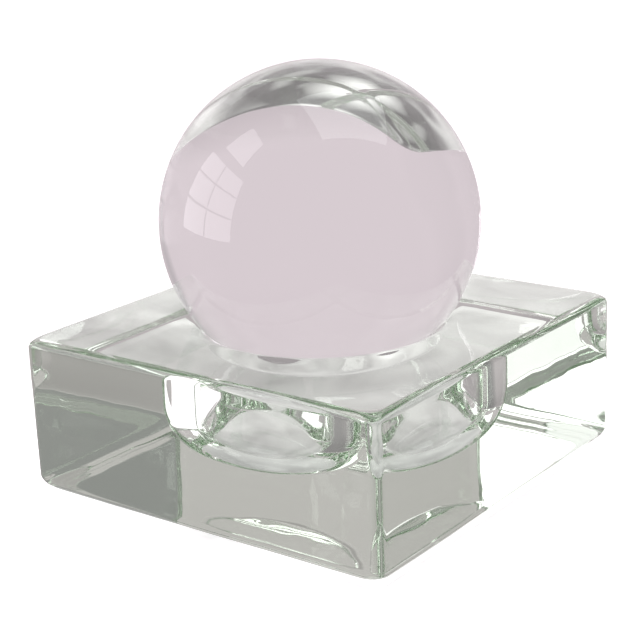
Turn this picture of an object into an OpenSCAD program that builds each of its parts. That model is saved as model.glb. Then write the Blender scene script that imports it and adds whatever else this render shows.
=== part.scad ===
// Glass desk paperweight: a square pressed-glass block with a round well in its top,
// closed by a loose solid glass ball that sits on the well's rounded rim.
// Millimetres, +Z up, origin at the middle of the face that the block stands on.

/* [Block] */
// Width and depth of the square block
block_w = 100; // [80:1:140]
// Height of the block
block_h = 38; // [34:0.5:60]
// Radius of the four upright corners
corner_r = 2.5; // [2.5:0.1:8]
// Rounding of the edges round the top
top_edge_r = 2.2; // [1:0.1:2.4]
// Rounding where the sides run in under the block
foot_edge_r = 4; // [2.5:0.1:8]

/* [Well] */
// Radius of the well's upright wall
well_r = 28; // [26:0.5:30]
// Depth of the well below the top of the block
well_depth = 27; // [25:0.5:29]
// Rounding where the wall runs into the floor
well_floor_r = 10; // [3:0.5:12]
// Rounding of the rim that carries the ball
rim_r = 3.4; // [2:0.1:4]

/* [Ball] */
// Diameter of the solid ball
ball_d = 75; // [72:0.5:84]
// Gap left between the ball and the rim that it rests on
seat_gap = 0.1; // [0.05:0.01:0.3]

/* [Hidden] */
$fn = 128;

overcut = 1; // how far a cut runs past the face that it opens
clear_glass = [0.86, 0.90, 0.87, 0.55];
rosy_glass = [0.90, 0.86, 0.89, 0.55];

core_w = block_w - 2 * corner_r; // distance between the corner centres
ball_r = ball_d / 2;
rim_centre_r = well_r + rim_r;   // radius of the circle that the rim rounding is swept along
rim_centre_z = block_h - rim_r;
// The ball touches the rim rounding where the line between their centres crosses it.
seat_reach = ball_r + rim_r + seat_gap;
ball_centre_z = rim_centre_z + sqrt(seat_reach * seat_reach - rim_centre_r * rim_centre_r);
well_floor_z = block_h - well_depth;

// Rectangle with both right-hand corners rounded, standing on the X axis from x = 0.
module half_slab_profile(width, height, r) {
    union() {
        square([width - r, height]);
        translate([0, r]) square([width, height - 2 * r]);
        translate([width - r, r]) circle(r);
        translate([width - r, height - r]) circle(r);
    }
}

// Slab with rounded long edges, as long as the straight part between two corners.
module slab_between_corners() {
    translate([-core_w / 2, 0, 0])
        rotate([90, 0, 90])
            linear_extrude(core_w)
                union() {
                    half_slab_profile(block_w / 2, block_h, top_edge_r);
                    mirror([1, 0]) half_slab_profile(block_w / 2, block_h, top_edge_r);
                }
}

// Quarter turn of the rounded edge, which joins two sides of the block.
module corner_quarter() {
    translate([core_w / 2, core_w / 2, 0])
        rotate_extrude(angle = 90)
            half_slab_profile(corner_r, block_h, top_edge_r);
}

// Prism as wide and high as the block, with the larger rounding along its two lower edges.
module foot_prism() {
    foot_half = block_w / 2 - foot_edge_r; // half width of the flat that the block stands on
    rotate([90, 0, 0])
        linear_extrude(block_w + 2 * overcut, center = true)
            union() {
                translate([-foot_half, 0]) square([2 * foot_half, block_h + overcut]);
                translate([-block_w / 2, foot_edge_r])
                    square([block_w, block_h - foot_edge_r + overcut]);
                for (side = [-1, 1])
                    translate([side * foot_half, foot_edge_r]) circle(foot_edge_r);
            }
}

module solid_block() {
    intersection() {
        union() {
            slab_between_corners();
            rotate([0, 0, 90]) slab_between_corners();
            for (turn = [0:90:270])
                rotate([0, 0, turn]) corner_quarter();
        }
        foot_prism();
        rotate([0, 0, 90]) foot_prism();
    }
}

// Half section of the air in the well: floor, floor rounding, wall and flared rim.
module well_profile() {
    union() {
        translate([0, well_floor_z])
            square([well_r - well_floor_r, well_depth + overcut]);
        translate([0, well_floor_z + well_floor_r])
            square([well_r, well_depth - well_floor_r + overcut]);
        translate([well_r - well_floor_r, well_floor_z + well_floor_r])
            circle(well_floor_r);
        difference() {
            translate([0, rim_centre_z]) square([rim_centre_r, rim_r + overcut]);
            translate([rim_centre_r, rim_centre_z]) circle(rim_r);
        }
    }
}

module block() {
    color(clear_glass)
        difference() {
            solid_block();
            rotate_extrude() well_profile();
        }
}

module ball() {
    color(rosy_glass)
        translate([0, 0, ball_centre_z]) sphere(r = ball_r);
}

block();
ball();
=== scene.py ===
"""Looks of the clear glass paperweight: a square pressed-glass block and the loose ball in its well.

Metres, +Z up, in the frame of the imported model. The block and the ball are each one closed glass body,
grown by a geometry node tree from a few sizes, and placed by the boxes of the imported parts.
"""

import math

import bpy
from mathutils import Matrix, Vector


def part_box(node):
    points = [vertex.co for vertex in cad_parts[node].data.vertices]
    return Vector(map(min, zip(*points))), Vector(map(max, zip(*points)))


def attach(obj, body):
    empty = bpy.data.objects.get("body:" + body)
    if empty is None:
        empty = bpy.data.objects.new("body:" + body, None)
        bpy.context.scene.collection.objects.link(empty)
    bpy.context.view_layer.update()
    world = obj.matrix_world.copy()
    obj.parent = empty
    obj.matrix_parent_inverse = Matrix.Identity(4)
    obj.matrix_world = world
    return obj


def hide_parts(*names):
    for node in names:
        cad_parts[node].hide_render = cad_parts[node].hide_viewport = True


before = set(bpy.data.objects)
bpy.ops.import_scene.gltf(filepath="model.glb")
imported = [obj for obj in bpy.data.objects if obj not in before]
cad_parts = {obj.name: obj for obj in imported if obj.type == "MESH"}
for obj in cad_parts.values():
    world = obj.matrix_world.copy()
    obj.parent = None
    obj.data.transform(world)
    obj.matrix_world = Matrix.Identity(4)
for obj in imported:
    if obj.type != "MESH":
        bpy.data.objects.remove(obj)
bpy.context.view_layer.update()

# ---- Sizes -------------------------------------------------------------------------------------------

MM = 0.001
block_low, block_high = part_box("block")
ball_low, ball_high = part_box("ball")

BLOCK_HALF = (block_high[0] - block_low[0]) / 2
BLOCK_TOP = block_high[2]
BALL_RADIUS = (ball_high[2] - ball_low[2]) / 2
BALL_CENTRE = (ball_high[2] + ball_low[2]) / 2

CORNER_RADIUS = 2.5 * MM     # upright corners of the block
TOP_EDGE_RADIUS = 2.2 * MM
FOOT_EDGE_RADIUS = 4 * MM    # rounding where the sides run in under the block
WELL_RADIUS = 28 * MM
WELL_DEPTH = 27 * MM
WELL_FLOOR_RADIUS = 10 * MM  # rounding where the well's wall runs into its floor
RIM_RADIUS = 3.4 * MM        # rounding of the rim that carries the ball

MERGE_DISTANCE = 0.002 * MM  # closes the seam and the poles, beside which points are 0.006 mm apart

GLASS_IOR = 1.52
SMEAR_SCALE = 60.0           # smears about a sixtieth of a metre across
SMEAR_FROM = 0.55            # only the strongest smears dull the polish
SMEAR_DULLNESS = 0.05


# ---- Nodes written as sums ---------------------------------------------------------------------------

class Wire:
    """An output socket that can be written in a sum: a + b adds the Math node for it."""

    def __init__(self, web, socket):
        self.web = web
        self.socket = socket

    def math(self, operation, *values):
        return self.web.add("ShaderNodeMath", dict(operation=operation), *values)

    def __add__(self, other):
        return self.math("ADD", self, other)

    __radd__ = __add__

    def __sub__(self, other):
        return self.math("SUBTRACT", self, other)

    def __rsub__(self, other):
        return self.math("SUBTRACT", other, self)

    def __mul__(self, other):
        return self.math("MULTIPLY", self, other)

    __rmul__ = __mul__

    def __truediv__(self, other):
        return self.math("DIVIDE", self, other)

    def __rtruediv__(self, other):
        return self.math("DIVIDE", other, self)

    def over(self, limit):
        return self.math("GREATER_THAN", self, limit)

    def most(self, other):
        return self.math("MAXIMUM", self, other)

    def least(self, other):
        return self.math("MINIMUM", self, other)

    def unsigned(self):
        return self.math("ABSOLUTE", self)

    def ramp(self, start, span, highest=1.0):
        """Rises from 0 at start to 1 at start + span, and stops at highest."""
        return ((self - start) / span).most(0.0).least(highest)

    def root(self):
        return self.math("SQRT", self)

    def floor(self):
        return self.math("FLOOR", self)

    def sine(self):
        return self.math("SINE", self)

    def cosine(self):
        return self.math("COSINE", self)


class Web:
    """A node tree that is filled one node at a time."""

    def __init__(self, tree):
        self.tree = tree

    def add(self, kind, settings=None, *values, **named):
        """Adds a node: its settings first, then a value or a link for its sockets, in order or by name."""
        node = self.tree.nodes.new(kind)
        for key, setting in (settings or {}).items():
            setattr(node, key, setting)
        places = list(enumerate(values)) + [(name.replace("_", " "), value) for name, value in named.items()]
        for place, value in places:
            socket = node.inputs[place]
            if isinstance(value, Wire):
                self.tree.links.new(value.socket, socket)
            elif value is not None:
                socket.default_value = value
        return Wire(self, next(out for out in node.outputs if out.enabled)) if node.outputs else node


class GeometryWeb(Web):
    """A geometry node tree with named inputs for its sizes."""

    def __init__(self, name):
        super().__init__(bpy.data.node_groups.new(name, "GeometryNodeTree"))
        self.tree.interface.new_socket("Geometry", in_out="INPUT", socket_type="NodeSocketGeometry")
        self.tree.interface.new_socket("Geometry", in_out="OUTPUT", socket_type="NodeSocketGeometry")
        self.group_input = self.tree.nodes.new("NodeGroupInput")
        self.sizes = {}

    def size(self, name, value):
        """A named input of the tree, and the value that the modifier gives it."""
        kind = "NodeSocketInt" if isinstance(value, int) else "NodeSocketFloat"
        item = self.tree.interface.new_socket(name, in_out="INPUT", socket_type=kind)
        self.sizes[item.identifier] = value
        return Wire(self, self.group_input.outputs[name])

    def corner(self, x, y, z):
        return self.add("ShaderNodeCombineXYZ", None, x, y, z)

    def axis_of(self, vector, axis):
        parts = self.add("ShaderNodeSeparateXYZ", None, vector)
        return Wire(self, parts.socket.node.outputs[axis])

    def ripple(self, shape, depth, spacing, seed):
        """Moves the skin inwards by up to depth, in soft swells about one spacing apart."""
        place = self.add("GeometryNodeInputPosition")
        swell = self.add("ShaderNodeTexNoise", dict(noise_dimensions="4D"),
                         Vector=place, W=seed, Scale=1 / spacing, Detail=2.0, Roughness=0.4)
        normal = self.add("GeometryNodeInputNormal")
        push = self.add("ShaderNodeVectorMath", dict(operation="SCALE"), normal, Scale=(swell - 1) * depth)
        return self.add("GeometryNodeSetPosition", None, shape, Offset=push)

    def grow(self, name, shape, material):
        """Ends the tree in a plain smooth mesh with its material, and returns that mesh as an object."""
        smooth = self.add("GeometryNodeSetShadeSmooth", None, shape)
        real = self.add("GeometryNodeRealizeInstances", None, smooth)
        coated = self.add("GeometryNodeSetMaterial", None, real, Material=material)
        output = self.tree.nodes.new("NodeGroupOutput")
        self.tree.links.new(coated.socket, output.inputs["Geometry"])
        carrier = bpy.data.objects.new(name + "_seed", bpy.data.meshes.new(name + "_seed"))
        bpy.context.scene.collection.objects.link(carrier)
        modifier = carrier.modifiers.new("grow", "NODES")
        modifier.node_group = self.tree
        for identifier, value in self.sizes.items():
            modifier[identifier] = value
        graph = bpy.context.evaluated_depsgraph_get()
        mesh = bpy.data.meshes.new_from_object(carrier.evaluated_get(graph), depsgraph=graph)
        carrier.modifiers.remove(modifier)
        bpy.data.objects.remove(carrier)
        mesh.name = name
        piece = bpy.data.objects.new(name, mesh)
        bpy.context.scene.collection.objects.link(piece)
        return piece


# ---- Glass -------------------------------------------------------------------------------------------

def clear_glass(name, tint, density):
    """Polished glass: faint hand smears on its skin, and a tint that deepens with its depth.

    Its ripples are in the mesh, not here.
    """
    material = bpy.data.materials.new(name)
    material.use_nodes = True
    material.node_tree.nodes.clear()
    web = Web(material.node_tree)
    place = web.add("ShaderNodeTexCoord")
    place = Wire(web, place.socket.node.outputs["Object"])
    smear = web.add("ShaderNodeTexNoise", None, Vector=place, Scale=SMEAR_SCALE, Detail=4.0, Roughness=0.6)
    roughness = (smear - SMEAR_FROM).most(0.0) * SMEAR_DULLNESS
    shader = web.add("ShaderNodeBsdfPrincipled", None, Base_Color=(1, 1, 1, 1), Roughness=roughness,
                     IOR=GLASS_IOR, Transmission_Weight=1.0)
    depth = web.add("ShaderNodeVolumeAbsorption", None, Color=(*tint, 1), Density=density)
    web.add("ShaderNodeOutputMaterial", None, Surface=shader, Volume=depth)
    return material


# ---- Block -------------------------------------------------------------------------------------------

def make_block(material):
    """The block as rings: up out of the well, over the rim, the top and the side, and in under the bottom.

    A ring is a square with rounded corners, drawn by its angle. Its half width and height follow the
    block's half section, and its corner centres move in until it is a circle, as it is in the well.
    """
    web = GeometryWeb("block_shape")
    half = web.size("Half width", BLOCK_HALF)
    top = web.size("Height", BLOCK_TOP)
    corner_radius = web.size("Corner radius", CORNER_RADIUS)
    corner_growth = web.size("Corner growth over an edge", 1.3)
    top_edge_radius = web.size("Top edge radius", TOP_EDGE_RADIUS)
    foot_edge_radius = web.size("Foot edge radius", FOOT_EDGE_RADIUS)
    well_radius = web.size("Well radius", WELL_RADIUS)
    well_depth = web.size("Well depth", WELL_DEPTH)
    floor_radius = web.size("Well floor radius", WELL_FLOOR_RADIUS)
    rim_radius = web.size("Rim radius", RIM_RADIUS)
    steps = web.size("Steps round a quarter", 120)
    arc_steps = web.size("Steps in a rounding", 11)
    row_gap = web.size("Gap between rows", 1.3 * MM)
    ripple_depth = web.size("Ripple depth", 0.25 * MM)
    ripple_spacing = web.size("Ripple spacing", 22 * MM)
    seed = web.size("Ripple seed", 3.0)

    # Half section: its corners, then a rounding at the four that have one.
    index = web.add("GeometryNodeInputIndex")
    corners = [(0.0, top - well_depth), (well_radius, top - well_depth), (well_radius, top), (half, top),
               (half, 0.0), (0.0, 0.0)]
    roundings = [0.0, floor_radius, rim_radius, top_edge_radius, foot_edge_radius, 0.0]
    line = web.add("GeometryNodeMeshLine", None, Count=len(corners))
    place = pick(web, "VECTOR", index, [web.corner(x, 0.0, z) for x, z in corners])
    line = web.add("GeometryNodeSetPosition", None, line, Position=place)
    section = web.add("GeometryNodeMeshToCurve", None, line)
    section = web.add("GeometryNodeFilletCurve", dict(mode="POLY"), section, Count=arc_steps,
                      Radius=pick(web, "FLOAT", index, roundings))
    here = web.add("GeometryNodeInputPosition")
    following = web.add("GeometryNodeSampleIndex", dict(data_type="FLOAT_VECTOR", clamp=True), section, here,
                        index + 1)
    gap = web.add("ShaderNodeVectorMath", dict(operation="DISTANCE"), here, following)
    section = web.add("GeometryNodeSubdivideCurve", None, section, Cuts=(gap / row_gap).floor())
    rows = web.add("GeometryNodeAttributeDomainSize", dict(component="CURVE"), section)

    # One column of points for each direction, which are closest together at the upright corners.
    sheet = web.add("GeometryNodeMeshGrid", None, 1.0, 1.0, steps * 4 + 1, rows)
    column = (index / rows).floor()
    row = index - column * rows
    section_point = web.add("GeometryNodeSampleIndex", dict(data_type="FLOAT_VECTOR"), section, here, row)
    reach = web.axis_of(section_point, "X")
    height = web.axis_of(section_point, "Z")
    quarter = (column / steps).floor()
    across = (column / steps - quarter) * 2 - 1
    crowding = 0.35  # spacing of the columns at a corner, as a share of even spacing
    turn = (across * crowding + across * across * across * (1 - crowding) + 1) / 2 + quarter
    angle = turn * (math.pi / 2)
    along_x = angle.cosine()
    along_y = angle.sine()

    # Distance from the axis to the ring in that direction. A ring's corners get rounder as it runs in
    # over an edge, so that the block's eight corners are softer than its edges.
    round_until = well_radius + rim_radius
    is_top = height.over(top / 2)
    edge_radius = foot_edge_radius + (top_edge_radius - foot_edge_radius) * is_top
    square_from = half - edge_radius
    squareness = reach.ramp(round_until, square_from - round_until)
    flat_centre = (square_from - corner_radius - edge_radius * corner_growth) * squareness
    edge_centre = reach - corner_radius - (half - reach) * corner_growth
    centre = flat_centre.most(edge_centre)
    long_side = along_x.unsigned().most(along_y.unsigned())
    short_side = along_x.unsigned().least(along_y.unsigned())
    flat_reach = reach / long_side
    is_corner = (flat_reach * short_side).over(centre)
    corner_size = reach - centre
    inside_root = corner_size * corner_size - centre * centre * (1 - long_side * short_side * 2)
    corner_reach = centre * (long_side + short_side) + inside_root.most(0.0).root()
    distance = flat_reach + (corner_reach - flat_reach) * is_corner
    ring = web.corner(along_x * distance, along_y * distance, height)
    shape = web.add("GeometryNodeSetPosition", None, sheet, Position=ring)
    shape = web.add("GeometryNodeMergeByDistance", None, shape, Distance=MERGE_DISTANCE)
    shape = web.add("GeometryNodeFlipFaces", None, shape)
    shape = web.ripple(shape, ripple_depth, ripple_spacing, seed)
    return web.grow("glass_block", shape, material)


def pick(web, data_type, index, values):
    """One of the values, by the index."""
    node = web.tree.nodes.new("GeometryNodeIndexSwitch")
    node.data_type = data_type
    while len(node.index_switch_items) < len(values):
        node.index_switch_items.new()
    for place, value in enumerate([index, *values]):
        if isinstance(value, Wire):
            web.tree.links.new(value.socket, node.inputs[place])
        else:
            node.inputs[place].default_value = value
    return Wire(web, node.outputs[0])


# ---- Ball --------------------------------------------------------------------------------------------

def make_ball(material):
    web = GeometryWeb("ball_shape")
    radius = web.size("Radius", BALL_RADIUS)
    centre = web.size("Height of the centre", BALL_CENTRE)
    fineness = web.size("Fineness", 7)
    ripple_depth = web.size("Ripple depth", 0.02 * MM)
    ripple_spacing = web.size("Ripple spacing", 30 * MM)
    seed = web.size("Ripple seed", 8.0)
    shape = web.add("GeometryNodeMeshIcoSphere", None, radius, fineness)
    shape = web.ripple(shape, ripple_depth, ripple_spacing, seed)
    shape = web.add("GeometryNodeSetPosition", None, shape, Offset=web.corner(0.0, 0.0, centre))
    return web.grow("glass_ball", shape, material)


# ---- Stage -------------------------------------------------------------------------------------------

LILAC = (0.71, 0.63, 0.665)
SHADE = (0.30, 0.29, 0.30)
ROOM_SIDE = Vector((0.61, -0.79, 0.0))   # level direction out of the stage, towards the dim end of the room
ROOM_FROM, ROOM_SPAN, ROOM_DIMMEST = -0.05, 0.8, 0.6
DOORWAY = Vector((0.69, 0.66, 0.30))     # towards a dim gap at the right of the sweep
DOORWAY_FROM, DOORWAY_SPAN, DOORWAY_DIMMEST = 0.88, 0.08, 0.85

FLOOR_HALF = 20.0                        # the floor runs on past where the camera could see its edge
FLOOR_DROP = 0.1 * MM                    # so that the floor, the paper and the block are never in one plane
FLOOR_WHITE = (0.95, 0.945, 0.95)
FLOOR_GLARE = 0.48
DIM_UNTIL, DIM_SPAN, DIM_LIGHT = 0.06, 0.07, 0.66   # less light reaches the floor close to the block

PAPER_DROP = 0.05 * MM
PAPER_MARGIN = 1 * MM
PAPER_CENTRE = (0.0, -0.02, 0.0)         # the paper glows least here
SHADED_CORNER = Vector((-1, 1, 0)).normalized()
SHADE_FROM, SHADE_SPAN, SHADE_DARKEST = 0.036, 0.016, 0.85
STREAK_CONTRAST, STREAK_FLOOR = 1.6, 0.2
CORNER_SHADE, CORNER_CONTRAST = 2.1, 2.6

WINDOW_X, WINDOW_Y = -0.42, -0.38
PATCH_LIFT = 0.2 * MM
PATCH_GAP = 1.5 * MM                     # between the block's side and the sunlit floor

BOUNCES = 96                             # light can be turned back inside clear glass dozens of times


def lit_material(name, glow):
    material = bpy.data.materials.new(name)
    material.use_nodes = True
    material.node_tree.nodes.clear()
    web = Web(material.node_tree)
    web.add("ShaderNodeOutputMaterial", None, web.add("ShaderNodeEmission", None, (*glow, 1), 1.0))
    return material


def sweep_colour(web, direction):
    """The lilac sweep's colour in a direction: dimmer towards the room's end and towards the doorway."""
    to_room = web.add("ShaderNodeVectorMath", dict(operation="DOT_PRODUCT"), direction, ROOM_SIDE)
    to_doorway = web.add("ShaderNodeVectorMath", dict(operation="DOT_PRODUCT"), direction, DOORWAY)
    dimness = to_room.ramp(ROOM_FROM, ROOM_SPAN, ROOM_DIMMEST)
    dimness = dimness.most(to_doorway.ramp(DOORWAY_FROM, DOORWAY_SPAN, DOORWAY_DIMMEST))
    return web.add("ShaderNodeMix", dict(data_type="RGBA"), Factor=dimness, A=(*LILAC, 1), B=(*SHADE, 1))


def paper_glow(name, middle, spread, spacing):
    """Light under the block: soft streaks, and more of it the further out towards the block's sides.

    The glow is middle at PAPER_CENTRE, and rises by spread from there to a block's half width away. The
    SHADED_CORNER lies in streaky shade.
    """
    material = bpy.data.materials.new(name)
    material.use_nodes = True
    material.node_tree.nodes.clear()
    web = Web(material.node_tree)
    place = web.add("ShaderNodeNewGeometry")
    out = web.add("ShaderNodeVectorMath", dict(operation="DISTANCE"), place, PAPER_CENTRE)
    streaks = web.add("ShaderNodeTexNoise", None, Vector=place, Scale=1 / spacing, Detail=2.0, Roughness=0.5,
                      Distortion=1.2)
    corner_streaks = web.add("ShaderNodeTexNoise", None, Vector=place, Scale=1.5 / spacing, Detail=0.0,
                             Distortion=1.5)
    to_corner = web.add("ShaderNodeVectorMath", dict(operation="DOT_PRODUCT"), place, SHADED_CORNER)
    shade = to_corner.ramp(SHADE_FROM, SHADE_SPAN) * (CORNER_SHADE - corner_streaks * CORNER_CONTRAST)
    shade = shade.most(0.0).least(SHADE_DARKEST)
    even = out * (spread / BLOCK_HALF) + middle
    strength = even * (streaks * STREAK_CONTRAST + STREAK_FLOOR) * (1 - shade)
    glow = web.add("ShaderNodeEmission", None, (1, 0.98, 0.98, 1), strength)
    web.add("ShaderNodeOutputMaterial", None, glow)
    return material


def make_floor():
    """A pale floor. Seen direct it is plain white; seen through the glass it has the sweep's lilac.

    Through the glass it is also dimmer close to the block, where less light gets under the edges.
    """
    mesh = bpy.data.meshes.new("floor")
    corners = [(x * FLOOR_HALF, y * FLOOR_HALF, 0) for x, y in ((-1, -1), (1, -1), (1, 1), (-1, 1))]
    mesh.from_pydata(corners, [], [(0, 1, 2, 3)])
    material = bpy.data.materials.new("pale_floor")
    material.use_nodes = True
    material.node_tree.nodes.clear()
    web = Web(material.node_tree)
    direct = web.add("ShaderNodeLightPath")
    place = web.add("ShaderNodeNewGeometry")
    away = web.add("ShaderNodeVectorMath", dict(operation="LENGTH"), place)
    light = away.ramp(DIM_UNTIL, DIM_SPAN) * (1 - DIM_LIGHT) + DIM_LIGHT
    outward = web.add("ShaderNodeVectorMath", dict(operation="NORMALIZE"), place)
    white = web.add("ShaderNodeBsdfDiffuse", None, (*FLOOR_WHITE, 1))
    glare = web.add("ShaderNodeEmission", None, (1, 1, 1, 1), FLOOR_GLARE)
    white = web.add("ShaderNodeAddShader", None, white, glare)
    sweep = web.add("ShaderNodeEmission", None, sweep_colour(web, outward), light)
    mixed = web.add("ShaderNodeMixShader", None, direct, sweep, white)
    web.add("ShaderNodeOutputMaterial", None, mixed)
    mesh.materials.append(material)
    floor = bpy.data.objects.new("floor", mesh)
    floor.location.z = -FLOOR_DROP
    bpy.context.scene.collection.objects.link(floor)


def add_card(name, place, target, size, material, columns=1, rows=1, bar=0.0, mirrored=True):
    """A glowing card of panes, which the camera doesn't see direct, facing a target.

    A card that isn't mirrored is seen through the glass, but not as a reflection on its skin.
    """
    width, height = size
    across, up = width / columns, height / rows
    points, faces = [], []
    for column in range(columns):
        for row in range(rows):
            x0 = column * across - width / 2 + bar / 2
            y0 = row * up - height / 2 + bar / 2
            x1, y1 = x0 + across - bar, y0 + up - bar
            faces.append(tuple(range(len(points), len(points) + 4)))
            points += [(x0, y0, 0), (x1, y0, 0), (x1, y1, 0), (x0, y1, 0)]
    mesh = bpy.data.meshes.new(name)
    mesh.from_pydata(points, [], faces)
    mesh.materials.append(material)
    card = bpy.data.objects.new(name, mesh)
    card.location = place
    card.rotation_euler = (Vector(target) - Vector(place)).to_track_quat("Z", "Y").to_euler()
    card.visible_camera = False
    card.visible_glossy = mirrored
    bpy.context.scene.collection.objects.link(card)


def add_floor_patch(name, x_range, y_range, material):
    """A lit stretch of floor, seen through the glass and not as a reflection on it."""
    x, y = sum(x_range) / 2, sum(y_range) / 2
    size = (x_range[1] - x_range[0], y_range[1] - y_range[0])
    add_card(name, (x, y, PATCH_LIFT), (x, y, 1), size, material, mirrored=False)


def make_world():
    """The lilac sweep all round, white where it is seen direct."""
    world = bpy.data.worlds.new("studio")
    world.use_nodes = True
    world.node_tree.nodes.clear()
    web = Web(world.node_tree)
    coordinates = web.add("ShaderNodeTexCoord")
    direction = Wire(web, coordinates.socket.node.outputs["Generated"])
    sky = web.add("ShaderNodeBackground", None, sweep_colour(web, direction), 1.0)
    white = web.add("ShaderNodeBackground", None, (1, 1, 1, 1), 1.0)
    path = web.add("ShaderNodeLightPath")
    mixed = web.add("ShaderNodeMixShader", None, path, sky, white)
    web.add("ShaderNodeOutputWorld", None, mixed)
    bpy.context.scene.world = world


def make_camera():
    azimuth, elevation, roll = math.radians(37.58), math.radians(17.30), math.radians(-2.32)
    distance = 0.39234
    aim_height, aim_side = 0.03677, -0.00091
    sensor_mm, lens_mm = 36.0, 92.835
    nearest = 0.01
    back = Vector((math.sin(azimuth) * math.cos(elevation), -math.cos(azimuth) * math.cos(elevation),
                   math.sin(elevation)))
    right = Vector((math.cos(azimuth), math.sin(azimuth), 0))
    up = back.cross(right)
    turned_right = right * math.cos(roll) + up * math.sin(roll)
    turned_up = up * math.cos(roll) - right * math.sin(roll)
    place = Vector((0, 0, aim_height)) + right * aim_side + back * distance
    data = bpy.data.cameras.new("camera")
    data.sensor_width = sensor_mm
    data.lens = lens_mm
    data.clip_start = nearest
    camera = bpy.data.objects.new("camera", data)
    turn = Matrix((turned_right, turned_up, back)).transposed().to_4x4()
    camera.matrix_world = Matrix.Translation(place) @ turn
    bpy.context.scene.collection.objects.link(camera)
    bpy.context.scene.camera = camera


# ---- Making ------------------------------------------------------------------------------------------

make_camera()
make_floor()
make_world()
add_card("top_softbox", place=(0.2, 0.3, 1.2), target=(0, 0, 0.05), size=(0.9, 0.9),
         material=lit_material("softbox", (2.2, 2.2, 2.2)))
daylight = lit_material("daylight", (2.6, 2.45, 2.55))
add_card("window", place=(WINDOW_X, WINDOW_Y, 0.23), target=(0, 0, 0.23), size=(0.48, 0.44),
         material=daylight, columns=2, rows=3, bar=0.012)
add_card("window_top", place=(WINDOW_X, WINDOW_Y, 0.74), target=(0, 0, 0.74), size=(0.30, 0.40),
         material=daylight)
sunlight = lit_material("sunlit_floor", (1.62, 1.50, 1.60))
patch_edge = -BLOCK_HALF - PATCH_GAP
add_floor_patch("sun_patch", (-0.118, patch_edge), (-0.15, 0.005), sunlight)
add_floor_patch("sun_patch_end", (-0.085, patch_edge), (0.005, BLOCK_HALF), sunlight)
paper_width = 2 * (BLOCK_HALF - PAPER_MARGIN)
add_card("lit_paper", place=(0, 0, -PAPER_DROP), target=(0, 0, 1), size=(paper_width, paper_width),
         material=paper_glow("paper_glow", middle=0.45, spread=0.5, spacing=0.035))

block = make_block(clear_glass("block_glass", tint=(0.42, 0.62, 0.40), density=5.0))
ball = make_ball(clear_glass("ball_glass", tint=(0.8, 0.8, 0.8), density=1.0))
for piece, node, body in ((block, "block", "block"), (ball, "ball", "ball")):
    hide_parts(node)
    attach(piece, body)

scene = bpy.context.scene
scene.view_settings.view_transform = "Standard"
scene.cycles.max_bounces = BOUNCES
scene.cycles.transmission_bounces = BOUNCES
scene.cycles.glossy_bounces = BOUNCES
